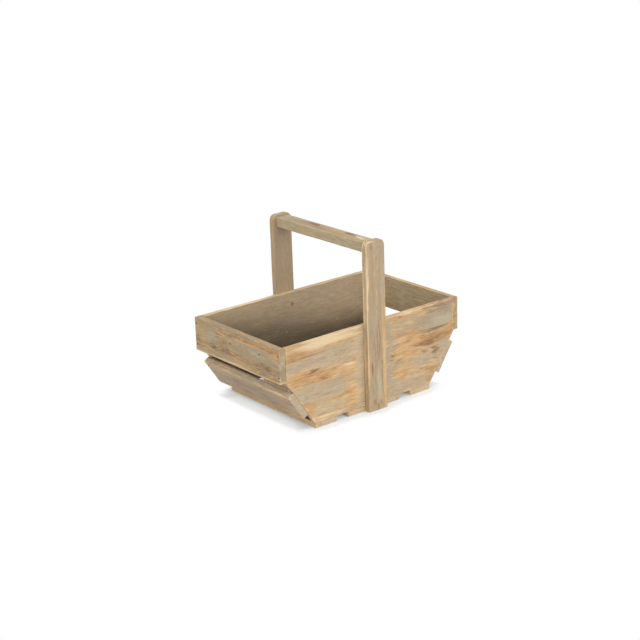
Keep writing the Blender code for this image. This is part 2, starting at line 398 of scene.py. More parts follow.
def wearArrises(place, outline, board):
    # rounds the arrises, more in some places than in others, with a few knocks
    random = np.random.default_rng(board["seed"])
    flat, depth, half = place[:, :2], place[:, 2], board["thickness"] / 2
    normals, offsets = halfPlanes(outline)
    toSides = offsets - flat @ normals.T
    toArris = np.maximum(toSides.min(axis=1), half - np.abs(depth))
    # an arris that lies tight against another plank keeps most of its corner
    near = np.exp(-toSides / wearLook["sideBlend"])
    share = (near * board["sideShares"]).sum(axis=1) / near.sum(axis=1)
    share = share * np.where(depth < 0, board["innerShare"], 1.0)
    radius = board["edge"] * share * slowNoise(place, "arrisRadius", board["seed"])
    knocks = np.zeros(len(place))
    for _ in range(board["knocks"]):
        a, b = random.integers(len(outline)), random.random()
        spot = outline[a] * b + outline[(a + 1) % len(outline)] * (1 - b)
        size = random.uniform(*wearLook["knockLength"]), random.uniform(*wearLook["knockWidth"])
        side = depth * random.choice((-1, 1)) > 0
        knocks = np.maximum(knocks, np.exp(-(((flat - spot) / size) ** 2).sum(axis=1)) * side)
    radius = np.minimum(radius + wearLook["knockDepth"] * knocks, 2 * half * wearLook["roundest"])
    inner = flat.copy()
    for _ in range(wearLook["insetRounds"]):
        for normal, offset in zip(normals, offsets):
            over = np.maximum(inner @ normal - (offset - radius), 0)
            inner -= over[:, None] * normal
    inner = np.column_stack([inner, np.clip(depth, radius - half, half - radius)])
    away = place - inner
    away /= np.linalg.norm(away, axis=1)[:, None]
    return inner + away * radius[:, None], away, toArris, knocks


def growRings(place, board):
    # growth rings round a pith outside the plank; knots push them apart
    seed = board["seed"]
    g, c, w = place.T
    knotMark = np.zeros(len(place))
    bent = c + slowNoise(place, "ringBend", seed)
    outer = easeStep(-1, 1, w)  # in the outer half of the plank
    ripple = slowNoise(place, "knotRipple", seed)
    for knotG, knotC, size, side, strength in board["knots"]:
        far = np.hypot((g - knotG) / wearLook["knotLong"], c - knotC) / size * ripple
        onSide = outer if side > 0 else 1 - outer
        pushed = wearLook["knotPush"] * np.exp(-((far / wearLook["knotReach"]) ** 2)) * onSide
        bent -= (bent - knotC) * pushed
        mark = strength * (1 - easeStep(*wearLook["knotEdge"], far)) * onSide
        knotMark = np.maximum(knotMark, mark)
    pithC, pithW, slope, spacing = board["rings"]
    pithDepth = pithW + slope * g + slowNoise(place, "pithDepth", seed)
    return np.hypot(bent - pithC, w - pithDepth) / spacing, knotMark


def finishWood(place, away, onEnd, toArris, knocks, board):
    # wash, warmth, rubbing and streaks: slow noise, and the marks that the plank is known by
    seed = board["seed"]
    fields = {field: np.zeros(len(place)) + board["base"].get(field, 0) for field in woodFields}
    patches, flecks = slowNoise(place, "patches", seed), slowNoise(place, "flecks", seed)
    fields["washCover"] += patches + flecks
    fields["warmth"] += flecks - patches
    for field in ("streaks", "mauve", "tone"):
        fields[field] += slowNoise(place, field, seed)
    g = place[:, 0] + slowNoise(place, "markAlong", seed)
    c = place[:, 1] + slowNoise(place, "markAcross", seed)
    inward = easeStep(*wearLook["innerTurn"], -away[:, 2])
    for field in woodFields:
        for markG, markC, halfG, halfC, amount in board.get(field, ()):
            far = ((g - markG) / halfG) ** 2 + ((c - markC) / halfC) ** 2
            fields[field] += amount * np.exp(-far) * (1 - inward)
        fields[field] += board["inside"].get(field, 0) * inward
    # the wash soaks into end grain
    fields["streaks"] -= board["base"]["streaks"] * onEnd
    fields["washCover"] += board["endWash"] * onEnd
    fields["warmth"] -= board["endWash"] * onEnd
    # arrises are rubbed bare in a strip of uneven width
    worn = np.exp(-((toArris / slowNoise(place, "wornWidth", seed)) ** 2))
    worn *= slowNoise(place, "wornShare", seed)
    worn = np.maximum(worn, knocks * wearLook["knockRubbed"]) * board["arris"]
    fields["rubbed"] += worn * (1 - wearLook["endSpared"] * onEnd)
    fields["washCover"] -= wearLook["washWorn"] * worn
    # painted shade on the inner faces, full below one line and gone above another, in patches
    soil, low, high, slope = board["soil"]
    paintedShadeShare = 1 - easeStep(low, high, c + slope * g)
    fields["stain"] = soil * paintedShadeShare * inward * (1 + wearLook["soilPatches"] * patches)
    return fields


def makeBoard(node, **board):
    # a plank in its own frame: g along the grain, c across it, w out of its outer face, in mm
    board = {**boardLook, **board}
    seed, thickness, wells, rowAxis = (board[k] for k in ("seed", "thickness", "wells", "rowAxis"))
    outline = np.array(board["outline"], float)
    rowKept, columnKept = (
        [well[axis] + line * well[3] for well in wells for line in wellLook["lines"]]
        for axis in (rowAxis, 1 - rowAxis)
    )
    low, high = outline[:, rowAxis].min(), outline[:, rowAxis].max()
    rows = latticeLines(low, high, board["steps"][rowAxis], rowKept + board["rowKept"])
    ends = np.array([board["span"](row) for row in rows])  # where each row starts and ends
    low, high = ends[:, 0].min(), ends[:, 1].max()
    columns = latticeLines(low, high, board["steps"][1 - rowAxis], columnKept)
    layers = latticeLines(-thickness / 2, thickness / 2, gridLook["layerStep"])
    grid, quads = latticeBox((len(rows), len(columns), len(layers)))
    row, column, depth = rows[grid[:, 0]], columns[grid[:, 1]], layers[grid[:, 2]]
    # a short row is squeezed at its ends, and keeps its middle for the wells
    core = board["core"]
    limit = np.abs(np.where(column < 0, ends[grid[:, 0], 0], ends[grid[:, 0], 1]))
    full = np.abs(np.where(column < 0, columns[0], columns[-1]))
    beyond = np.maximum(np.abs(column) - core, 0) * (limit - core) / (full - core)
    column = np.sign(column) * (np.minimum(np.abs(column), core) + beyond)
    flat = np.column_stack([column, row] if rowAxis else [row, column])
    deep, halo = sinkWells(flat, depth, wells)

    place = np.column_stack([flat, depth])
    shaped, away, toArris, knocks = wearArrises(place, outline, board)
    ringPhase, knotMark = growRings(place, board)
    onEnd = easeStep(*wearLook["endTurn"], np.abs(away[:, 0]))
    fields = finishWood(place, away, onEnd, toArris, knocks, board)
    # the rust round the fasteners shares this field with the painted shade
    fields["stain"] = np.maximum(fields["stain"], halo)
    fields["knotMark"] = knotMark
    fields["ringPhase"] = ringPhase

    # rubbing leaves the face a little uneven, and the hard rings proud
    sunk = slowNoise(place, "unevenFace", seed) + deep
    sunk += (0.5 - 0.5 * np.cos(2 * pi * ringPhase)) * wearLook["ringRelief"]
    sunk += onEnd * slowNoise(place, "roughEnd", seed)
    if board["bow"]:
        sunk += board["bow"](*place.T)
    shaped -= away * sunk[:, None]

    origin, along, across, out = (np.array(v, float) for v in board["frame"])
    world = (origin + shaped @ np.stack([along, across, out])) * mm
    handed = np.dot(np.cross(along, across), out) * (-1 if rowAxis else 1)
    mesh = bpy.data.meshes.new(node)
    mesh.from_pydata(world.tolist(), [], (quads if handed > 0 else quads[:, ::-1]).tolist())
    for name in woodFields:
        layer = mesh.attributes.new(name, "FLOAT", "POINT")
        layer.data.foreach_set("value", fields[name].astype(np.float32))
    layer = mesh.attributes.new("grainPlace", "FLOAT_VECTOR", "POINT")
    apart = place + seed * np.array(wearLook["grainApart"])
    layer.data.foreach_set("vector", apart.astype(np.float32).ravel())
    mesh.shade_smooth()
    mesh.materials.append(board["material"])
    addPiece(board["name"], mesh, node)
    for fastener, (g, c, side, *_) in zip(board["fasteners"], wells):
        seats[fastener] = origin + g * along + c * across + side * thickness / 2 * out, -side * out


slatNails = {"reach": 104.0, "margin": 10.0}  # mm from a slat's middle and from its sides


def plank(node, name, size, rows, **board):
    # a straight board of this length, width and thickness; rows names its two rows of nails
    length, width, thickness = size
    a, b = length / 2, width / 2
    nails = [(end, g, row, c) for end, g in (("back", -1), ("front", 1)) for row, c in zip(rows, (-1, 1))]
    reach, rise = slatNails["reach"], b - slatNails["margin"]
    makeBoard(
        node,
        name=name,
        outline=[(-a, -b), (a, -b), (a, b), (-a, b)],
        span=lambda row: (-a, a),
        thickness=thickness,
        wells=[(g * reach, c * rise, 1, *nailWell) for end, g, row, c in nails],
        fasteners=[f"{node}_nail_{end}_{row}" for end, g, row, c in nails],
        **board,
    )


def boxOf(node):
    low, high = (np.array(corner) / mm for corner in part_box(node))
    return low, high, (low + high) / 2, high - low


# Side panels

panelLook = {
    "edge": 0.7,
    # bottom, right taper, right end, top, left end, left taper
    "sideShares": (0.08, 0.1, 0.25, 1.3, 0.25, 0.1),
    "knocks": 7,
    "core": 14,
    "base": {"washCover": 0.45, "warmth": 0.25, "streaks": 0.08},
    "inside": {"washCover": 0.5, "warmth": -1.0, "streaks": -0.05},
    "slot": "panel_wood",
    "baseLength": 236.0,
    "kneeHeight": 86.5,
    "seat": 0.22,  # nailed tight: its bottom and tapers take up most of the 0.3 mm to their slats
    "screwPlaces": [(7, 31.3), (-7, 75.15), (7, 119)],
}
frontPanel = {
    "seed": 3,
    "rings": (30, -34, 0.05, 3.4),  # place of the pith across and below, its slope, spacing
    # place along and up, size, side of the board, strength
    "knots": [
        (128, 63, 4.2, 1, 0.45), (106, 65, 2.2, 1, 0.4), (-145, 43, 1.8, 1, 0.7), (-84, 100, 3, -1, 0.8),
    ],
    # painted shade on its inner face, darker towards the bottom
    "soil": (0.85, 20, 128, 0.0),
    # each mark: place along and up, half sizes in mm, strength
    "washCover": [
        (168, 104, 4, 26, -0.6), (-92, 133, 62, 9, -0.6), (-150, 126, 20, 7, -0.35),
        (-130, 108, 40, 7, 0.8), (-74, 105, 36, 12, 0.75), (-147, 89, 27, 11, -0.6),
        (-102, 78, 20, 8, -0.6), (-60, 82, 30, 15, -0.35), (-104, 57, 56, 13, 1), (-42, 42, 15, 28, -0.45),
        (-126, 32, 9, 12, -0.5), (-92, 29, 30, 5, 0.4), (-25, 75, 8, 95, 0.5), (-92, 6, 40, 6, 0.4),
        (140, 136, 34, 7, 0.3), (141, 114, 30, 12, 1.2), (96, 118, 14, 6, 0.6), (66, 88, 32, 32, -0.45),
        (128, 88, 42, 12, -0.6), (149, 67, 13, 9, 1), (100, 54, 26, 9, 0.8), (62, 40, 18, 7, -0.35),
        (124, 34, 18, 6, -0.5), (70, 21, 38, 9, 0.7), (113, 17, 8, 5, -0.7), (32, 70, 6.5, 62, 0.9),
    ],
    "warmth": [
        (168, 104, 4, 26, 1), (150, 88, 17, 8, 0.6), (70, 106, 36, 9, 0.5), (-90, 125, 60, 5, 0.55),
        (-150, 126, 20, 7, 0.65), (-156, 142, 22, 2.4, 0.8), (-137, 118, 36, 5, 0.9),
        (-147, 89, 25, 11, 1.05), (-104, 78, 18, 8, 1.1), (-60, 82, 30, 17, 0.2), (-52, 95, 16, 3.5, 0.6),
        (-104, 57, 56, 12, -0.4), (-84, 36, 30, 7, 0.5), (-42, 42, 16, 32, 0.55), (-126, 32, 9, 12, 1),
        (-80, 19, 44, 7, 0.6), (-25, 75, 8, 95, -0.3), (45, 136, 18, 6, 0.8), (74, 131, 40, 7, 0.5),
        (122, 135, 34, 2, 0.8), (141, 114, 30, 12, -0.8), (66, 88, 34, 34, 0.28), (128, 88, 42, 14, 0.8),
        (129, 63, 9, 7, 0.8), (149, 67, 13, 9, -0.6), (62, 40, 18, 7, 0.55), (124, 34, 18, 6, 0.8),
        (113, 17, 7, 5, 1), (32, 70, 7, 62, -0.7),
    ],
    "rubbed": [
        (90, 143.6, 90, 1.6, -0.6), (-92, 135, 56, 8.5, 1.15), (-158, 141, 22, 3, -0.8),
        (-66, 78, 26, 12, 0.25), (-50, 86, 15, 2.6, 0.9), (-42, 34, 14, 24, 0.28), (-44, 50, 10, 3, 0.4),
        (-124, 34, 4, 5, 0.4), (-88, 14, 34, 3.4, 0.8), (-26, 75, 8, 80, 0.18), (80, 139.5, 26, 3.4, 0.9),
        (142, 139, 34, 7, -1.4), (60, 98, 26, 12, 0.2), (60, 100, 26, 3, 0.35), (58, 40, 5, 3, 0.5),
    ],
    "streaks": [
        (41, 68, 3.4, 18, 0.4), (140, 100, 26, 2.4, 0.7), (126, 82, 24, 3.4, 0.25),
        (-150, 127, 16, 2.4, 0.5), (-140, 118, 30, 1.7, 1.5), (-86, 117.5, 30, 1.2, 0.8),
        (-98, 104, 20, 1.4, 0.5), (-124, 92, 11, 4, 1.9), (-112, 86, 12, 3, 0.9), (-104, 78, 17, 3.2, 1),
        (-130, 76, 34, 1.6, 0.7), (-76, 68, 26, 1.4, 0.8), (-84, 50, 30, 1, 0.6), (-118, 43, 26, 1.3, 0.9),
        (-85, 37, 26, 3, 0.4), (-100, 19, 15, 2.4, 1), (57, 135, 10, 1.8, 1.3), (134, 136, 40, 7, 0.95),
        (118, 128, 26, 1.6, 0.8), (132, 101, 32, 2.2, 1), (90, 80, 70, 60, 0.3), (42, 80, 5, 28, 0.35),
        (128, 89, 38, 11, 0.4), (113, 79, 17, 5, 1.8), (118, 69, 22, 3, 0.4), (129, 63, 7, 6, 1.5),
        (106, 65, 6, 2.6, 0.7), (132, 50, 9, 2.6, 0.9), (102, 37, 8, 2.2, 0.9), (46, 36, 8, 2, 0.7),
        (122, 33, 16, 3, 0.6),
    ],
    "mauve": [
        (156, 134, 16, 8, 0.9), (-160, 134, 12, 5, 0.8), (-130, 108, 40, 8, 0.6), (-112, 60, 50, 12, 0.5),
        (132, 134, 44, 8, 1), (32, 90, 8, 40, 0.6),
    ],
    "greyed": [
        (142, 114, 24, 9, 1.3), (110, 118, 14, 5, 0.5), (33, 70, 6.5, 66, 0.8), (150, 67, 12, 8, 1),
        (104, 56, 22, 7, 0.6), (90, 143.6, 90, 1.6, 1),
    ],
    "tone": [
        (-32, 72, 12, 90, 0.12), (-100, 18, 32, 24, 0.12), (-152, 122, 12, 10, -0.1),
        (108, 117, 24, 15, -0.18), (156, 135, 18, 12, -0.28), (150, 86, 18, 10, -0.18),
        (46, 70, 8, 14, -0.15), (58, 116, 20, 8, -0.1), (112, 44, 16, 8, -0.1), (126, 22, 8, 10, -0.12),
        (112, 140, 16, 5, 0.2),
    ],
}
backPanel = {
    "seed": 5,
    "rings": (60, -40, -0.04, 3.1),
    "knots": [(70, 54, 4, 1, 0.9), (-120, 110, 3, 1, 0.8)],
    "soil": (0.88, 42, 152, 0.18),  # painted shade on its inner face, darker towards the bottom, reaching higher towards its left end
    "washCover": [
        (66, 122, 46, 7, -0.5), (-110, 60, 50, 14, 0.7), (-60, 104, 44, 12, -0.35), (96, 84, 42, 14, 0.8),
        (28, 75, 8, 95, 0.6), (-28, 75, 8, 95, 0.6), (40, 30, 38, 10, 0.6),
    ],
    "warmth": [
        (66, 122, 46, 7, 0.9), (-130, 84, 28, 7, 0.9), (-70, 78, 26, 5, 0.9), (120, 64, 24, 6, 0.8),
        (-60, 104, 46, 13, 0.8), (110, 50, 28, 11, 0.8), (-110, 26, 26, 8, 0.6),
    ],
    "rubbed": [(-84, 139, 70, 3.4, 0.9), (70, 133, 60, 6, 0.7), (-120, 132, 36, 5, 0.5)],
    "streaks": [
        (-66, 78, 18, 3, 0.9), (126, 66, 14, 3, 0.9), (-96, 84, 42, 1.5, 1), (60, 112, 32, 1.4, 0.9),
        (112, 48, 18, 3, 0.7),
    ],
    "mauve": [(-110, 60, 50, 14, 0.5)],
    "greyed": [
        (-120, 112, 34, 12, 0.9), (84, 84, 34, 10, 0.8), (-64, 44, 36, 9, 0.7), (40, 22, 36, 6, 0.7),
    ],
    "tone": [(110, 118, 30, 14, -0.1), (-40, 30, 50, 14, 0.06)],
}


def sidePanel(side, sign, look):
    node = f"side_panel_{side}"
    low, high, middle, size = boxOf(node)
    foot, knee, seat = panelLook["baseLength"] / 2, panelLook["kneeHeight"], panelLook["seat"]
    lean = atan2(size[0] / 2 - foot, knee - low[2])
    top, bottom = high[2], low[2] - seat
    foot += seat * (1 - sin(lean)) / cos(lean)
    knee -= seat / sin(lean)

    def span(height):
        sides = ((-foot, low[0], low[0]), (foot, high[0], high[0]))
        return [np.interp(height, (bottom, knee, top), side) for side in sides]

    taperedEnds = [(high[0], knee), (high[0], top), (low[0], top), (low[0], knee)]
    makeBoard(
        node,
        name=f"sidePanel_{side}",
        outline=[(-foot, bottom), (foot, bottom)] + taperedEnds,
        span=span,
        rowKept=[knee],
        thickness=size[1],
        frame=((0, middle[1], 0), (1, 0, 0), (0, 0, 1), (0, sign, 0)),
        wells=[(g, c, -1, *screwWell) for g, c in panelLook["screwPlaces"]],
        fasteners=[f"upright_{side}_screw_{number}" for number in (1, 2, 3)],
        material=washedPine(f"washedPinePanel_{side}"),
        **panelLook,
        **look,
    )


sidePanel("front", -1, frontPanel)
sidePanel("back", 1, backPanel)
print("side panels made")

# End slats; along is towards the front (-Y), height from the slat's middle

slatLook = {"edge": 0.8, "innerShare": 0.18, "slot": "end_slat_wood"}
topSlatLook = {
    "base": {"washCover": 0.5, "warmth": 0.3, "streaks": 0.3},
    "arris": 0.6,
    # inner faces greyer and plainer, and made paler and creamier as painted light against the shade they
    # stand in
    "inside": {"washCover": 0.5, "warmth": -0.5, "streaks": -0.4, "rubbed": 0.15, "tone": 0.27},
    # painted shade on the inner faces, darker towards the bottom
    "soil": (0.42, -46, 12, 0.0),
    # greyer and more weathered than the panels, with a green cast in the wash
    "colours": {
        "washPale": "#c3b796",
        "washDeep": "#a08a6a",
        "washMauve": "#a88b70",
        "pinePale": "#cfad7e",
        "pineRust": "#a4714a",
        "brown": "#775a40",
    },
}
topLeftSlat = {
    "seed": 8,
    "rings": (10, -30, 0.06, 2.6),
    "knots": [(-15, 6.5, 2, 1, 0.9), (58, 8, 1.9, 1, 0.9)],
    "endWash": 0.4,
    "washCover": [
        (60, 20, 54, 4.2, -0.5), (0, 28, 120, 2.2, 0.7), (50, 7, 38, 8, 1.1), (-66, 6, 16, 15, 0.9),
        (-36, -20, 26, 3.6, 1.1),
    ],
    "warmth": [
        (60, 20, 54, 4.4, 1), (50, 7, 38, 8, -0.7), (100, 6, 8, 14, 0.7), (-28, 5, 17, 3.4, 1.3),
        (-66, 6, 16, 15, -0.5), (18, -13, 15, 7, 0.8), (20, -25, 100, 2.4, 0.5), (-92, -16, 9, 4, 0.9),
    ],
    "rubbed": [(100, 6, 7, 12, 0.3), (103, -20, 6, 8, 0.6), (0, -25.5, 110, 2, 0.8)],
    "streaks": [
        (50, 20, 60, 3.2, 0.45), (-18, 22, 26, 3.6, 0.7), (0, 0, 130, 30, 0.1), (66, -12, 34, 6, 0.35),
        (-70, -14, 30, 7, 0.35), (-76, 20, 22, 4, 0.4), (107, 18, 1.5, 9, 1.1), (92, 1, 12, 1.6, 0.8),
        (-34, 4, 20, 3.6, 0.55), (-38, 13, 15, 3.4, 0.75), (-26, -8, 40, 5.5, 0.6),
        (-30, -11, 30, 1.5, 0.6), (72, -9, 28, 4.4, 0.7), (84, -12, 20, 1.4, 0.9), (60, -19, 13, 4.5, 0.5),
        (92, -21, 14, 1.6, 0.8), (-101, -12, 7, 9, 0.7),
    ],
    "mauve": [(-26, -8, 44, 7, 0.7), (60, -14, 40, 9, 0.6)],
    "greyed": [(50, 7, 34, 7, 0.8), (-66, 6, 15, 13, 0.7)],
    "tone": [
        (0, 27, 130, 2.6, -0.2), (103, 8, 7, 11, 0.2), (-98, -5, 12, 12, -0.14), (114, 0, 7, 60, -0.16),
    ],
}
topRightSlat = {
    "seed": 12,
    "rings": (-14, -36, -0.05, 2.8),
    "knots": [(44, 8, 2.6, 1, 0.9), (30, -10, 3, -1, 0.7)],
    "endWash": 0.05,
    "washCover": [(-40, 6, 40, 12, 0.6)],
    "warmth": [(10, -14, 50, 6, 0.8), (110, 0, 5, 60, 0.5), (50, -8, 40, 8, 0.7), (-92, -8, 12, 12, 0.5)],
    "rubbed": [(0, 24, 80, 3, 0.6)],
    "streaks": [(24, -10, 28, 2.4, 0.8), (-10, 16, 50, 2, 0.8)],
    "mauve": [(110, 0, 5, 60, 0.8)],
    "greyed": [(-46, 8, 36, 8, 0.7), (62, 10, 24, 6, 0.5)],
    "tone": [(110, 0, 5, 60, -0.14)],
}
for end, sign, look in (("left", -1, topLeftSlat), ("right", 1, topRightSlat)):
    low, high, middle, size = boxOf(f"top_slat_{end}")
    plank(
        f"top_slat_{end}",
        f"topSlat_{end}",
        (size[1], size[2], size[0]),
        ("lower", "upper"),
        frame=(middle, (0, -1, 0), (0, 0, 1), (sign, 0, 0)),
        material=washedPine(f"washedPineTopSlat_{end}", **topSlatLook["colours"]),
        **slatLook,
        **topSlatLook,
        **look,
    )

lowerSlatLook = {
    "base": {"washCover": 0.6, "warmth": 0.12, "streaks": 0.25},
    "inside": {"washCover": 0.1, "warmth": -0.2, "streaks": -0.1},
    # painted shade on the inner faces, darker towards the bottom
    "soil": (0.85, -10, 60, 0.0),
    "knots": [(-46, -9, 2.2, 1, 0.5)],
    "colours": {
        "washPale": "#d1c5ad",
        "washDeep": "#ab977a",
        "washMauve": "#aa9280",
        "pinePale": "#d3b187",
        "brown": "#6f533e",
    },
}
lowerLeftSlat = {
    "seed": 15,
    "rings": (-22, -34, 0.04, 2.4),
    "width": 51.0,
    "planed": (1.6, 2.6),  # depth and width in mm of what is off its upper inner arris
    "washCover": [(6, 0, 110, 16, 0.35), (-88, 2, 16, 11, 0.8), (0, 27, 120, 1.4, 0.5)],
    "warmth": [(24, 15, 36, 3, 1.1), (-50, -12, 26, 5, 0.6), (60, -20, 44, 4, 0.6)],
    "rubbed": [
        (6, 8, 26, 1.6, 0.5), (76, -6, 22, 1.5, 0.5), (0, 22.5, 110, 2, 0.65), (86, 21, 30, 3.2, 0.8),
    ],
    "streaks": [
        (-84, -14, 26, 5, 0.5), (44, -14, 30, 4, 0.5), (30, 12, 40, 2.2, 0.6), (-38, 6, 15, 4, 0.9),
        (-18, 1, 34, 1.8, 0.7), (-28, -16, 34, 5, 0.8), (38, -2, 26, 3.4, 0.75), (84, 8, 18, 3, 0.9),
        (70, -10, 24, 2.4, 0.7),
    ],
    "mauve": [(114, 0, 7, 60, -0.9), (6, 0, 96, 17, 1)],
    "greyed": [(114, 0, 7, 60, 0.5)],
    "tone": [(0, 27, 130, 2.4, -0.03)],
}
lowerRightSlat = {
    "seed": 19,
    "rings": (16, -30, -0.05, 3.0),
    "width": 55.0,
    "planed": (0.3, 2.6),
    "washCover": [(30, -6, 50, 12, 0.6)],
    "warmth": [(-50, 8, 30, 8, 0.6)],
    "rubbed": [(0, 26, 110, 2.2, 0.6), (-20, -25, 60, 2.2, 0.5)],
    "streaks": [(-34, -6, 30, 3, 0.8), (10, 12, 44, 2, 0.8)],
    "greyed": [(20, 6, 44, 7, 0.7)],
}
panelLow, panelHigh, middle, size = boxOf("side_panel_front")
for end, sign, reach, look in (
    ("left", -1, -panelLow[0], lowerLeftSlat),
    ("right", 1, panelHigh[0], lowerRightSlat),
):
    low, high, middle, size = boxOf(f"lower_slat_{end}")
    width, thickness = look["width"], boxOf(f"top_slat_{end}")[3][0]
    # it lies on the taper that runs from the panels' bottom corners to their knees
    lean = atan2(reach - panelLook["baseLength"] / 2, panelLook["kneeHeight"] - panelLow[2])

    def planed(g, c, w):
        depth, reach = look["planed"]
        far = np.hypot(c - width / 2, w + thickness / 2) / reach
        return depth * np.exp(-(far**2))

    plank(
        f"lower_slat_{end}",
        f"lowerSlat_{end}",
        (size[1], width, thickness),
        ("lower", "upper"),
        frame=(middle, (0, -1, 0), (sign * sin(lean), 0, cos(lean)), (sign * cos(lean), 0, -sin(lean))),
        bow=planed,
        material=washedPine(f"washedPineLowerSlat_{end}", **lowerSlatLook["colours"]),
        **slatLook,
        **lowerSlatLook,
        **look,
    )
print("end slats made")

# Bottom slats

bottomLook = {
    "edge": 0.6,
    "innerShare": 0.12,
    "base": {"washCover": 0.55, "warmth": 0.2, "streaks": 0.1},
    "inside": {"washCover": 0.15, "warmth": -0.3},
    # painted shade over the whole of their upper faces
    "soil": (0.9, 100, 200, 0.0),
    "slot": "bottom_slat_wood",
    # seed, rings and knot of each
    "slats": (
        (21, (-9, -32, 0.05, 2.7), (20, 6, 2.6, 1, 0.9)),
        (24, (12, -32, 0.05, 3.2), (-10, 2, 2.6, -1, 0.9)),
        (27, (4, -32, 0.05, 2.5), (-40, -2, 2.6, 1, 0.9)),
        (31, (-14, -32, 0.05, 3.0), (-70, -6, 2.6, -1, 0.9)),
    ),
}
for number, (seed, rings, knot) in enumerate(bottomLook["slats"], 1):
    low, high, middle, size = boxOf(f"bottom_slat_{number}")
    width, length, thickness = size
    plank(
        f"bottom_slat_{number}",
        f"bottomSlat_{number}",
        (length, width, thickness),
        ("left", "right"),
        seed=seed,
        rings=rings,
        knots=[knot],
        # pale cream strips along both long sides: painted light against the shade under the trug
        rubbed=[(0, side * (width / 2 + 1), 120, 3.2, 0.7) for side in (-1, 1)],
        tone=[(side * length / 2, 0, 8, 60, 0.14) for side in (-1, 1)],
        frame=(middle, (0, -1, 0), (1, 0, 0), (0, 0, -1)),
        material=washedPine(f"washedPineBottomSlat_{number}"),
        **bottomLook,
    )
print("bottom slats made")

# Handle

uprightLook = {
    "edge": 1.2,
    "innerShare": 0.35,
    "knocks": 5,
    "arris": 0.6,
    "rowAxis": 0,
    "core": 8,
    "base": {"washCover": 0.6, "warmth": 0.15, "streaks": 0.2},
    "inside": {"washCover": 0.35, "mauve": 0.4, "warmth": -0.2, "tone": 0.06},
    "slot": "upright_wood",
    "corner": 10.0,
    "cornerSteps": 12,
    "nailSpread": 6.0,
    "nailHeight": 260.7,
    # it has come a little off the panel: how far, at what height, over what height, and how
    # much less on its right side
    "gap": (0.25, 56, 34, 0.3),
    "colours": {
        "washPale": "#bcab8f",
        "washDeep": "#a99274",
        "washMauve": "#a99381",
        "pinePale": "#c9aa80",
    },
}
frontUpright = {
    "seed": 34,
    "rings": (26, -26, 0.02, 2.3),
    "knots": [(130, -9, 1.5, 1, 0.4)],
    # each mark: height, across (+X), half sizes in mm, strength
    "washCover": [
        (75, -20.5, 90, 2.6, 0.5), (72, 14.5, 84, 4, -0.5), (40, -8, 20, 5, 0.9), (52, 1.5, 26, 4.5, 0.9),
        (168, 2, 26, 9, 0.5), (262, 0, 12, 14, 0.8),
    ],
    "warmth": [
        (66, -15.2, 62, 1.8, 0.8), (72, 13.5, 84, 3.6, 0.5), (50, -3, 30, 12, -0.3), (12, -4, 12, 12, 0.5),
    ],
    "rubbed": [
        (66, -16.2, 60, 1.4, 0.35), (190, -16.6, 64, 1.7, 0.65), (268, -12, 5, 6, 0.9),
        (120, -20.5, 150, 2.8, 0.75), (74, 14.5, 80, 3, 0.55), (94, 15, 18, 3, 0.2),
    ],
    "streaks": [
        (9, 0, 9, 16, 0.75), (68, -10, 9, 2.6, 1.3), (56, 8.5, 44, 1.8, 0.75), (112, 1, 32, 7, 0.6),
        (104, -6, 22, 1.6, 0.6), (42, -4, 26, 1.2, 0.6), (150, 6, 40, 1.2, 0.6), (188, -6, 34, 1.3, 0.6),
        (226, 4, 24, 1.4, 0.6), (258, -9, 6, 3, 0.8),
    ],
    "mauve": [(130, 0, 40, 12, 0.6)],
    "greyed": [(38, 4, 30, 5, 1), (66, 2, 16, 5, 0.9), (150, -2, 30, 5, 0.5), (250, 2, 18, 9, 0.5)],
    "tone": [
        (4, 13, 8, 6, 0.26), (266, -11, 10, 9, 0.18), (205, 13, 50, 4, 0.09), (215, 0, 55, 22, 0.04),
        (120, -21, 150, 3, 0.14), (214, -9, 44, 1.5, -0.1), (176, -1, 60, 1.3, 0.09),
        (208, 7, 46, 1.4, -0.09), (128, 10, 50, 1.5, 0.08), (140, -11, 46, 1.4, -0.09),
        (96, 5, 40, 1.3, -0.09),
    ],
}
backUpright = {
    "seed": 37,
    "rings": (-30, -22, -0.02, 2.5),
    "knots": [(96, 6, 3, 1, 0.8)],
    "washCover": [(273, -4, 5, 16, 1), (90, -2, 60, 9, 0.4)],
    "warmth": [(50, -10, 44, 5, 0.6)],
    "rubbed": [(150, 17, 120, 2.2, 0.6)],
    "streaks": [(271, 8, 4, 8, 0.7), (180, 4, 50, 1.6, 0.7)],
    "greyed": [(273, -4, 5, 16, 0.6)],
    "tone": [(273, -4, 4, 16, 0.16)],
}


def upright(side, sign, look):
    node = f"handle_upright_{side}"
    low, high, middle, size = boxOf(node)
    half, top, corner = size[0] / 2, high[2], uprightLook["corner"]
    steps = uprightLook["cornerSteps"]
    turns = [pi / 2 * i / steps for i in range(steps + 1)]
    right = [(top - corner + corner * sin(t), half - corner + corner * cos(t)) for t in turns]
    nails = [(way, c * uprightLook["nailSpread"]) for way, c in (("left", -1), ("right", 1))]

    def span(height):
        over = max(height - (top - corner), 0)
        reach = half - corner + max(corner**2 - over**2, 0) ** 0.5
        return -reach, reach

    def bow(g, c, w):
        depth, height, reach, less = uprightLook["gap"]
        return np.where(w < 0, depth * np.exp(-(((g - height) / reach) ** 2)) * (1 - less * c / half), 0)

    makeBoard(
        node,
        name=f"handleUpright_{side}",
        outline=[(0, half), (0, -half)] + [(g, -c) for g, c in right] + right[::-1],
        span=span,
        rowKept=[g for g, c in right],
        thickness=size[1],
        frame=((0, middle[1], 0), (0, 0, 1), (1, 0, 0), (0, sign, 0)),
        wells=[(uprightLook["nailHeight"], c, 1, *filledWell) for way, c in nails],
        fasteners=[f"crossbar_nail_{side}_{way}" for way, c in nails],
        bow=bow,
        material=washedPine(f"washedPineUpright_{side}", **uprightLook["colours"]),
        **uprightLook,
        **look,
    )


upright("front", -1, frontUpright)
upright("back", 1, backUpright)

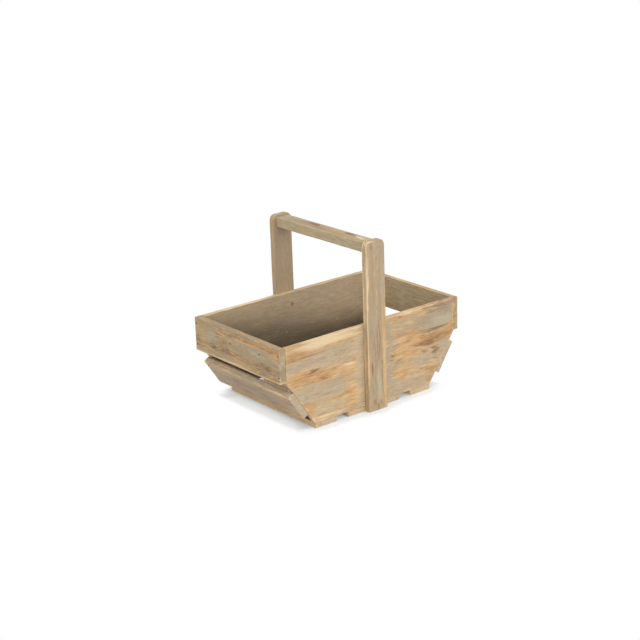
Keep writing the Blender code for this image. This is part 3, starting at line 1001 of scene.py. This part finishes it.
crossbar = {
    "seed": 41,
    "edge": 1.5,
    "sideShares": (1.0, 0.15, 1.0, 0.15),  # its ends are tight against the uprights
    "steps": (2.2, 0.8),
    "arris": 0.45,
    "rings": (-16, -20, 0.03, 2.4),
    "knots": [(-40, 3, 1.6, 1, 0.5)],
    "base": {"washCover": 0.75, "streaks": 0.2},
    "inside": {"washCover": 0.1},
    "slot": "crossbar_wood",
    # each mark: along towards the front (-Y), across (+X), half sizes in mm, strength
    "washCover": [(90, 5, 16, 6, 0.5), (0, 2, 40, 5, -0.4), (42, -1, 24, 6, -0.6)],
    "warmth": [(-80, 6, 44, 7, -0.7), (30, 1, 36, 5, 1.4), (-78, 1, 16, 4, 0.6)],
    "rubbed": [(84, 3, 14, 6, 1.3)],
    "streaks": [
        (58, 5, 16, 4, 1.6), (-24, 4, 15, 4.5, 1.8), (-60, 3, 40, 2, 0.7), (0, -5, 60, 1.4, 0.7),
        (42, -10.5, 34, 1.6, 0.6), (100, -6, 5, 5, 0.8),
    ],
    "mauve": [(-60, 2, 44, 4, 1.2), (-22, 3, 18, 5, 0.8), (-30, 0, 50, 10, 0.9)],
    "greyed": [(-80, 6, 40, 6, 1)],
    "tone": [
        (-45, -14, 62, 3, 0.15), (55, -14, 52, 3, 0.09), (0, -7, 140, 5, -0.13), (-70, 2, 30, 12, -0.07),
        (92, 6, 15, 7, 0.2),
    ],
    "colours": {
        "washPale": "#c8bc9c",
        "washDeep": "#ac9b78",
        "washMauve": "#a68e78",
        "pinePale": "#c2a279",
    },
}
low, high, middle, size = boxOf("handle_crossbar")
plank(
    "handle_crossbar",
    "handleCrossbar",
    (size[1], size[0], size[2]),
    (),
    frame=(middle, (0, -1, 0), (1, 0, 0), (0, 0, 1)),
    material=washedPine("washedPineCrossbar", **crossbar["colours"]),
    **crossbar,
)
print("handle made")

# Nails and screws

# Mild steel round nails, drawn wire with stamped heads, gone dull brown in damp wood.
nailLook = {
    "length": 27.0,
    "shank": 1.8,
    "head": 3.4,
    "point": 2.4,
    "sink": 0.4,
    "sides": 28,
    "tilt": (0.02, 0.06),  # how far a struck head may slope
    "crown": 0.02,
    # rings of the head and the neck, in shares of their radius, and mm below the head's top
    "headTop": ((0.3, 0.03), (0.6, 0.03), (0.85, 0.03)),
    "headRim": ((0.95, 0.08), (1.0, 0.2), (1.0, 0.6), (0.9, 0.85)),
    "neck": ((1.15, 0.9), (1.0, 1.3)),
    "tip": 0.1,
    "kinds": 5,
    # two colours and the roughness
    "steel": ("#75624f", "#7a5334", 0.5),
    "washed": ("#baa587", "#a38c6c", 0.74),
    "spots": 900,  # to a metre, so one every millimetre or so
}
# Zinc-plated countersunk wood screws with a cross recess: plain grey, a little bright.
screwLook = {
    "shank": 3.0,
    "head": 6.0,
    "headDepth": 2.0,
    "length": 15.5,
    "sink": 0.3,
    "faceRings": (0.2, 0.4, 0.52, 0.7, 1.0, 1.3, 1.6, 1.86, 1.96, 2.3),  # mm
    "rim": ((0.97, 0.0), (1.0, 0.12), (1.0, 0.3)),  # share of the head's radius, mm below its top
    "thread": 0.35,
    "pitch": 1.3,
    "threadStep": 0.16,
    "threadFrom": 0.3,  # below the head, and from the middle
    "coreTaper": 3.0,
    "tip": (0.06, 0.2),  # its radius, and where the thread ends above it
    "slotHalf": 0.459,
    "slotReach": 1.9,
    "slotDepth": 1.3,
    "slotRise": 0.55,
    "sides": 48,
    "zinc": ("#b8ac99", "#8f8371", 0.34),
    "spots": 1400,
}
metalLook = {
    "spotDetail": 5.0,
    "spotRoughness": 0.6,
    "spotStops": (0.38, 0.62),
    "roughnessRange": (-0.12, 0.25),
    "bump": 0.4,
    "bumpDepth": 0.1,  # mm
}


def wornMetal(name, bright, dull, roughness, spots, metallic=1.0):
    material, tree, shader = newMaterial(name)
    place = add(tree, "ShaderNodeTexCoord", take="Object")
    grain = {"Detail": metalLook["spotDetail"], "Roughness": metalLook["spotRoughness"]}
    spots = add(tree, "ShaderNodeTexNoise", {"Vector": place, "Scale": spots, **grain})
    stops = list(zip(metalLook["spotStops"], (linear(bright), linear(dull))))
    colour = add(tree, "ShaderNodeValToRGB", {0: spots}, stops=stops)
    tree.links.new(colour, shader.inputs["Base Color"])
    smoother, rougher = metalLook["roughnessRange"]
    limits = {"Value": spots, "To Min": roughness + smoother, "To Max": roughness + rougher}
    tree.links.new(add(tree, "ShaderNodeMapRange", limits), shader.inputs["Roughness"])
    relief = {"Strength": metalLook["bump"], "Distance": metalLook["bumpDepth"] * mm, "Height": spots}
    tree.links.new(add(tree, "ShaderNodeBump", relief), shader.inputs["Normal"])
    shader.inputs["Metallic"].default_value = metallic
    return material


nailSteel = wornMetal("dullNailSteel", *nailLook["steel"], nailLook["spots"])
# the wash was brushed over these heads too, so that they hardly show
limewash = wornMetal("limewashOnNailHeads", *nailLook["washed"], nailLook["spots"], 0.0)
screwSteel = wornMetal("zincPlatedScrewSteel", *screwLook["zinc"], screwLook["spots"])


def turnedMesh(name, rings, sides, material):
    # a closed solid from rings of (radius, height, bend), where bend moves each point
    points, faces = [(0, 0, rings[0][1] + rings[0][2](0, 0)[1])], []
    for radius, height, bend in rings:
        for i in range(sides):
            turn = 2 * pi * i / sides
            r, dz = bend(turn, radius) if bend else (1, 0)
            points.append((radius * cos(turn) * r, radius * sin(turn) * r, height + dz))
    points.append((0, 0, rings[-1][1]))
    last = len(points) - 1
    end = last - sides
    for i in range(sides):
        j = (i + 1) % sides
        faces.append((0, 1 + i, 1 + j))
        for a in range(1, end, sides):
            b = a + sides
            faces.append((a + i, b + i, b + j, a + j))
        faces.append((end + j, end + i, last))
    mesh = bpy.data.meshes.new(name)
    mesh.from_pydata([[v * mm for v in p] for p in points], [], faces)
    mesh.materials.append(material)
    mesh.shade_smooth()
    return mesh


def nailMesh(seed, steel):
    # head struck a little out of flat, shank, point
    random = np.random.default_rng(seed)
    tiltTurn, tilt = random.uniform(0, 2 * pi), random.uniform(*nailLook["tilt"])

    def struck(turn, radius):
        return 1, tilt * radius * cos(turn - tiltTurn) - nailLook["crown"] * radius * radius

    head, shank = nailLook["head"] / 2, nailLook["shank"] / 2
    top, tip = -nailLook["sink"], -nailLook["length"]
    rings = [(head * share, top - below, struck) for share, below in nailLook["headTop"]]
    rings += [(head * share, top - below, None) for share, below in nailLook["headRim"]]
    rings += [(shank * share, top - below, None) for share, below in nailLook["neck"]]
    rings += [(shank, tip + nailLook["point"], None), (shank * nailLook["tip"], tip, None)]
    return turnedMesh("nail", rings, nailLook["sides"], steel)


def screwMesh():
    head, core = screwLook["head"] / 2, screwLook["shank"] / 2 - screwLook["thread"]
    top, tip = -screwLook["sink"], -screwLook["length"]

    def recess(turn, radius):
        x, y = abs(radius * cos(turn)), abs(radius * sin(turn))
        reach = screwLook["slotReach"]
        if min(x, y) > screwLook["slotHalf"] or max(x, y) > reach:
            return 1, 0
        return 1, -screwLook["slotDepth"] * (1 - screwLook["slotRise"] * max(x, y) / reach)

    def threaded(height):
        def bend(turn, radius):
            # a sharp ridge over half of each pitch, lower near the point
            wave = (height / screwLook["pitch"] + turn / (2 * pi)) % 1
            rise = max(0, 1 - abs(wave - 0.5) * 4)
            return 1 + rise * screwLook["thread"] / max(radius, screwLook["threadFrom"]), 0

        return bend

    rings = [(radius, top, recess) for radius in screwLook["faceRings"]]
    rings += [(head * share, top - below, None) for share, below in screwLook["rim"]]
    rings += [(core, top - screwLook["headDepth"], None)]
    height = top - screwLook["headDepth"] - screwLook["threadFrom"]
    tipRadius, unthreaded = screwLook["tip"]
    while height > tip + unthreaded:
        share = min((height - tip) / screwLook["coreTaper"], 1)
        rings.append((core * share, height, threaded(height)))
        height -= screwLook["threadStep"]
    rings.append((tipRadius, tip, None))
    return turnedMesh("screw", rings, screwLook["sides"], screwSteel)


nailMeshes = [nailMesh(seed, nailSteel) for seed in range(nailLook["kinds"])]
washedNail = nailMesh(6, limewash)
screw = screwMesh()
fastenerTurns = np.random.default_rng(5)
for node in sorted(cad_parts):
    if node not in seats:
        continue
    slot = "nail_steel"
    if "_screw_" in node:
        mesh, slot = screw, "screw_steel"
    elif node.startswith("crossbar"):
        mesh = washedNail
    else:
        mesh = nailMeshes[fastenerTurns.integers(len(nailMeshes))]
    # a fastener's own -Z is the way that it was driven
    face, way = seats[node]
    driven = Vector((0, 0, -1)).rotation_difference(Vector(way).normalized()).to_matrix().to_4x4()
    spin = Matrix.Rotation(fastenerTurns.uniform(0, 2 * pi), 4, "Z")
    turned = Matrix.Translation(Vector(face) * mm) @ driven @ spin
    addPiece(node.replace("_", ""), mesh, node, turned)
print("nails and screws driven")

# Floor, light and camera

stageLook = {
    "floorSize": 16.0,  # metres
    "floorGrey": 0.8,
    # for the camera, the floor close to the object, where its shadow falls; plain white beyond
    "floorSeen": (0.91, 0.955, 1.0),
    "shadowReach": 0.03,  # metres
    "shadowShares": (0.73, 0.87),  # how open the floor is in the full shadow, and where it ends
    "shadowSamples": 16,
    "sky": 0.72,
    "keyFrom": (-0.12, -0.66, 0.74),
    "keySpread": 80.0,  # degrees across, as a large soft box
    "keyLevel": 0.43,  # of a white that faces it
}


def seenDirectly(tree):
    # 1 for rays from the camera, or from it off metal or through glass
    most = 0.0
    for kind in ("Is Camera Ray", "Is Glossy Ray", "Is Transmission Ray"):
        ray = add(tree, "ShaderNodeLightPath", take=kind)
        most = add(tree, "ShaderNodeMath", {0: most, 1: ray}, operation="MAXIMUM")
    return most


half = stageLook["floorSize"] / 2
floorMesh = bpy.data.meshes.new("floor")
corners = [(-half, -half, 0), (half, -half, 0), (half, half, 0), (-half, half, 0)]
floorMesh.from_pydata(corners, [], [(0, 1, 2, 3)])
floor = newObject("floor", floorMesh)
floorMaterial, tree, shader = newMaterial("paleFloor")
shader.inputs["Base Color"].default_value = grey(stageLook["floorGrey"])
shader.inputs["Roughness"].default_value = 1.0
shader.inputs["Specular IOR Level"].default_value = 0.0
reach, samples = {"Distance": stageLook["shadowReach"]}, stageLook["shadowSamples"]
openness = add(tree, "ShaderNodeAmbientOcclusion", reach, take="AO", samples=samples)
least, most = stageLook["shadowShares"]
openness = add(tree, "ShaderNodeMapRange", {"Value": openness, "From Min": least, "From Max": most})
pale = add(tree, "ShaderNodeBsdfDiffuse", {"Color": (*stageLook["floorSeen"], 1)})
white = add(tree, "ShaderNodeEmission", {"Color": grey(1)})
pale = add(tree, "ShaderNodeMixShader", {0: openness, 1: pale, 2: white})
shown = {0: seenDirectly(tree), 1: shader.outputs[0], 2: pale}
shown = add(tree, "ShaderNodeMixShader", shown)
tree.links.new(shown, tree.nodes["Material Output"].inputs["Surface"])
floorMesh.materials.append(floorMaterial)

world = bpy.data.worlds.new("studio")
world.use_nodes = True
bpy.context.scene.world = world
tree = world.node_tree
sky = tree.nodes["Background"]
sky.inputs["Color"].default_value = grey(stageLook["sky"])
white = add(tree, "ShaderNodeBackground", {"Color": grey(1)})
shown = add(tree, "ShaderNodeMixShader", {0: seenDirectly(tree), 1: sky.outputs[0], 2: white})
tree.links.new(shown, tree.nodes["World Output"].inputs["Surface"])

keyLight = bpy.data.lights.new("softKey", "SUN")
keyLight.angle = radians(stageLook["keySpread"])
keyLight.energy = stageLook["keyLevel"] * pi
key = newObject("softKey", keyLight)
key.rotation_euler = Vector(stageLook["keyFrom"]).to_track_quat("Z", "Y").to_euler()

# the photograph's own viewpoint, worked out from the straight edges of the boards
cameraLook = {
    "azimuth": -38.549,
    "elevation": 18.868,
    "roll": -2.032,
    "distance": 2.3509,
    "aim": (0.0129, 0.03614, 0.10622),
    "lens": 82.25,
    "sensor": 36.0,
    "clipEnd": 50.0,
}
azimuth, elevation, roll = (radians(cameraLook[k]) for k in ("azimuth", "elevation", "roll"))
right = Vector((cos(azimuth), sin(azimuth), 0))
forward = Vector((-sin(azimuth) * cos(elevation), cos(azimuth) * cos(elevation), -sin(elevation)))
down = forward.cross(right)
rolledRight = cos(roll) * right - sin(roll) * down
rolledDown = sin(roll) * right + cos(roll) * down
cameraData = bpy.data.cameras.new("camera")
cameraData.lens = cameraLook["lens"]
cameraData.sensor_width = cameraLook["sensor"]
cameraData.clip_end = cameraLook["clipEnd"]
camera = newObject("camera", cameraData)
turned = Matrix((rolledRight, -rolledDown, -forward)).transposed().to_4x4()
place = Vector(cameraLook["aim"]) - forward * cameraLook["distance"]
camera.matrix_world = Matrix.Translation(place) @ turned
bpy.context.scene.camera = camera
bpy.context.scene.view_settings.view_transform = "Standard"
print("floor, light and camera set")

bpy.context.view_layer.update()
